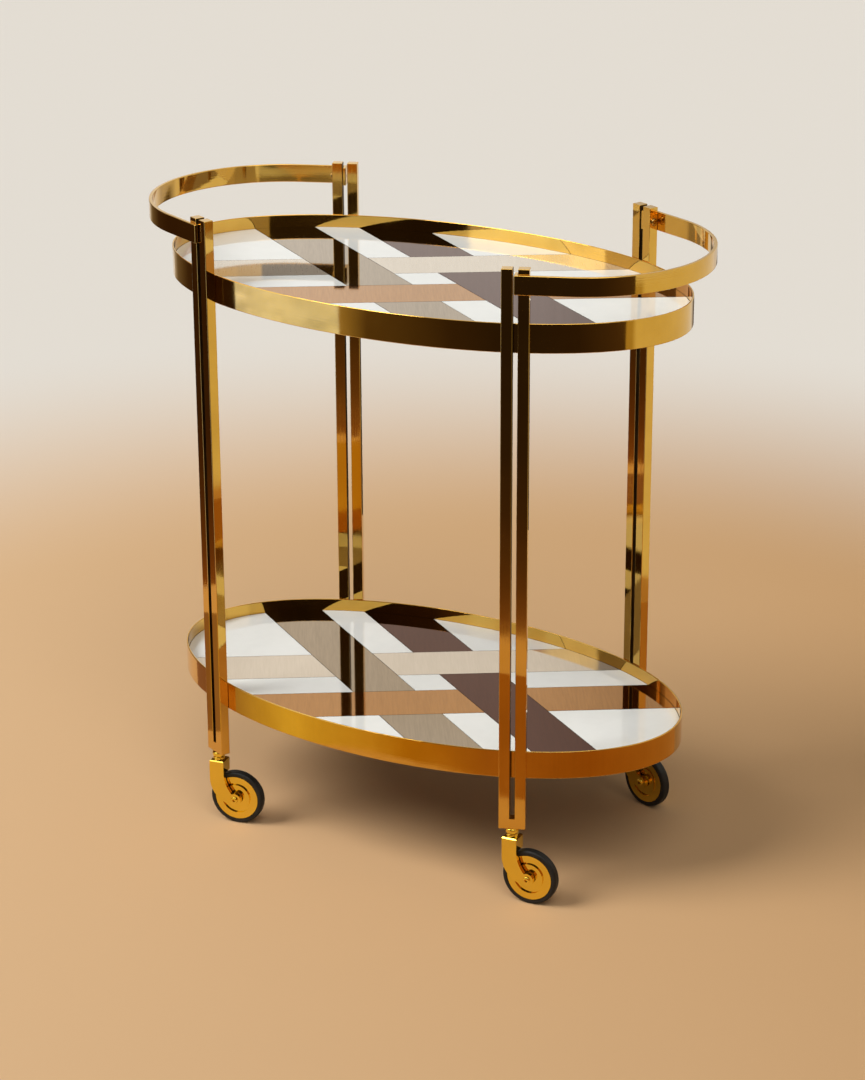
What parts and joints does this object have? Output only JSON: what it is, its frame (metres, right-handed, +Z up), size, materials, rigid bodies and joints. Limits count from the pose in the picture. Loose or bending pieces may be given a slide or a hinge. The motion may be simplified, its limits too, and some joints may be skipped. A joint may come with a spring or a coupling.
{
  "type": "bar cart",
  "caption": "Oval serving cart with rimmed trays of woven-pattern mirror glass, twin-bar posts, bent band handles at the ends and swivel casters",
  "frame": {"origin": "on the floor, under the middle of the oval trays", "axes": "+X to the right-hand end handle, -Y to the front, +Z up"},
  "size_m": [0.8426, 0.442, 0.9035],
  "materials": {
    "polished_brass": "polished gold-toned brass plate",
    "white_glass": "white back-painted glass, gloss",
    "champagne_glass": "champagne tinted mirror glass",
    "copper_glass": "copper tinted mirror glass",
    "bronze_glass": "bronze tinted mirror glass",
    "plum_glass": "plum brown tinted mirror glass",
    "deck_board": "plain fibreboard panel under the glass",
    "tyre_rubber": "black rubber tyre, satin",
    "bush_nylon": "natural nylon sleeve",
    "screw_steel": "zinc plated steel"
  },
  "bodies": {
    "root": {"lower_rim": "polished_brass", "lower_board": "deck_board", "lower_white_panes": "white_glass", "lower_champagne_panes": "champagne_glass", "lower_copper_panes": "copper_glass", "lower_bronze_panes": "bronze_glass", "lower_plum_panes": "plum_glass", "upper_rim": "polished_brass", "upper_board": "deck_board", "upper_white_panes": "white_glass", "upper_champagne_panes": "champagne_glass", "upper_copper_panes": "copper_glass", "upper_bronze_panes": "bronze_glass", "upper_plum_panes": "plum_glass", "front_left_end_bar": "polished_brass", "front_left_middle_bar": "polished_brass", "front_left_foot": "polished_brass", "front_left_stem": "polished_brass", "front_right_end_bar": "polished_brass", "front_right_middle_bar": "polished_brass", "front_right_foot": "polished_brass", "front_right_stem": "polished_brass", "back_left_end_bar": "polished_brass", "back_left_middle_bar": "polished_brass", "back_left_foot": "polished_brass", "back_left_stem": "polished_brass", "back_right_end_bar": "polished_brass", "back_right_middle_bar": "polished_brass", "back_right_foot": "polished_brass", "back_right_stem": "polished_brass", "left_handle": "polished_brass", "right_handle": "polished_brass", "handle_screws": "polished_brass", "tray_screws": "screw_steel"},
    "front_left_caster": {"front_left_arm": "polished_brass", "front_left_axle": "polished_brass"},
    "front_left_roller": {"front_left_wheel": "polished_brass", "front_left_tyre": "tyre_rubber", "front_left_bush": "bush_nylon"},
    "front_right_caster": {"front_right_arm": "polished_brass", "front_right_axle": "polished_brass"},
    "front_right_roller": {"front_right_wheel": "polished_brass", "front_right_tyre": "tyre_rubber", "front_right_bush": "bush_nylon"},
    "back_left_caster": {"back_left_arm": "polished_brass", "back_left_axle": "polished_brass"},
    "back_left_roller": {"back_left_wheel": "polished_brass", "back_left_tyre": "tyre_rubber", "back_left_bush": "bush_nylon"},
    "back_right_caster": {"back_right_arm": "polished_brass", "back_right_axle": "polished_brass"},
    "back_right_roller": {"back_right_wheel": "polished_brass", "back_right_tyre": "tyre_rubber", "back_right_bush": "bush_nylon"}
  },
  "joints": [
    {"name": "front_left_swivel", "type": "hinge", "parent": "root", "child": "front_left_caster", "pos_m": [-0.24377, -0.18153, 0.1005], "axis": [0, 0, 1], "continuous": true},
    {"name": "front_left_roll", "type": "hinge", "parent": "front_left_caster", "child": "front_left_roller", "pos_m": [-0.21727, -0.17638, 0.04], "axis": [-0.1908, 0.9816, 0], "continuous": true},
    {"name": "front_right_swivel", "type": "hinge", "parent": "root", "child": "front_right_caster", "pos_m": [0.24377, -0.18153, 0.1005], "axis": [0, 0, 1], "continuous": true},
    {"name": "front_right_roll", "type": "hinge", "parent": "front_right_caster", "child": "front_right_roller", "pos_m": [0.27067, -0.17918, 0.04], "axis": [-0.0872, 0.9962, 0], "continuous": true},
    {"name": "back_left_swivel", "type": "hinge", "parent": "root", "child": "back_left_caster", "pos_m": [-0.24377, 0.18153, 0.1005], "axis": [0, 0, 1], "continuous": true},
    {"name": "back_left_roll", "type": "hinge", "parent": "back_left_caster", "child": "back_left_roller", "pos_m": [-0.21697, 0.17824, 0.04], "axis": [0.1219, 0.9925, 0], "continuous": true},
    {"name": "back_right_swivel", "type": "hinge", "parent": "root", "child": "back_right_caster", "pos_m": [0.24377, 0.18153, 0.1005], "axis": [0, 0, 1], "continuous": true},
    {"name": "back_right_roll", "type": "hinge", "parent": "back_right_caster", "child": "back_right_roller", "pos_m": [0.26959, 0.17363, 0.04], "axis": [0.2924, 0.9563, 0], "continuous": true}
  ]
}
